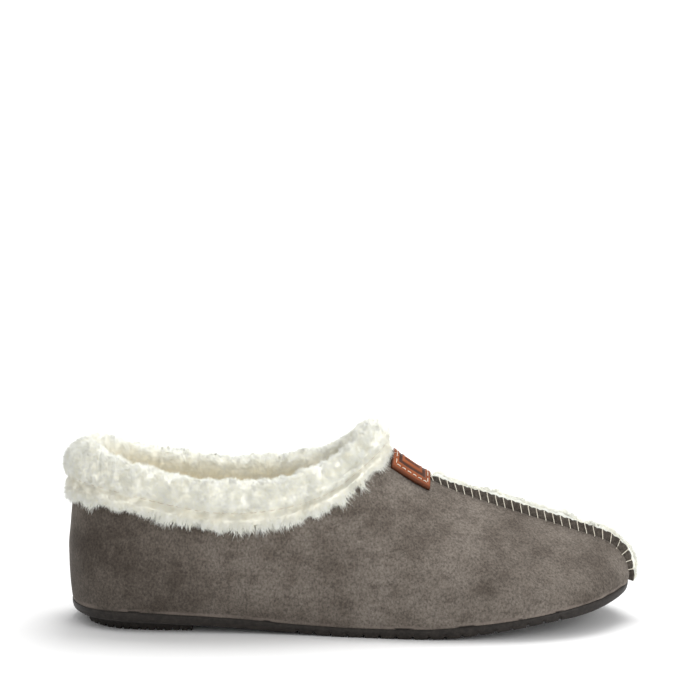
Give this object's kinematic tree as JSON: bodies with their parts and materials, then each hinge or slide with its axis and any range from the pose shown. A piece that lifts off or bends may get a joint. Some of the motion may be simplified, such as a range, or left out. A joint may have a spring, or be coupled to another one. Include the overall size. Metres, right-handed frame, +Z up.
{
  "type": "house slipper",
  "caption": "Closed-back house slipper: suede-look upper with a raised whip-stitched centre seam, turned-down fleece collar, fleece lining, small leather tag and low rubber sole.",
  "frame": {"origin": "centre of the bottom of the slipper's bounding box, on the ground", "axes": "+X to the toe, +Y to the medial (inner) side of a right foot, +Z up"},
  "size_m": [0.2656, 0.0904, 0.0925],
  "materials": {
    "suede": "brushed grey-brown microsuede",
    "fleece": "cream faux-shearling pile",
    "outsole_rubber": "matt dark brown moulded rubber",
    "tag_leather": "waxed tan leather",
    "welt_suede": "dark brown turned suede edge",
    "thread": "thick cream sewing thread",
    "backing": "bonded non-woven backing",
    "board": "fibre insole board",
    "foam": "soft open-cell foam",
    "tape": "woven cotton tape"
  },
  "bodies": {
    "root": {"outsole": "outsole_rubber", "heel_lift": "outsole_rubber", "sole_filler": "foam", "insole_board": "board", "footbed_foam": "foam", "footbed_sock": "fleece", "suede_lateral": "suede", "suede_medial": "suede", "interlining_lateral": "backing", "interlining_medial": "backing", "toe_puff_lateral": "backing", "toe_puff_medial": "backing", "lining_lateral": "fleece", "lining_medial": "fleece", "seam_welt_lateral": "welt_suede", "seam_welt_medial": "welt_suede", "heel_seam_tape": "tape", "heel_counter": "board", "topline_tape": "tape", "fleece_collar": "fleece", "collar_thread": "thread", "seam_fleece": "fleece", "seam_thread": "thread", "leather_tag": "tag_leather", "tag_thread": "thread"}
  },
  "joints": []
}
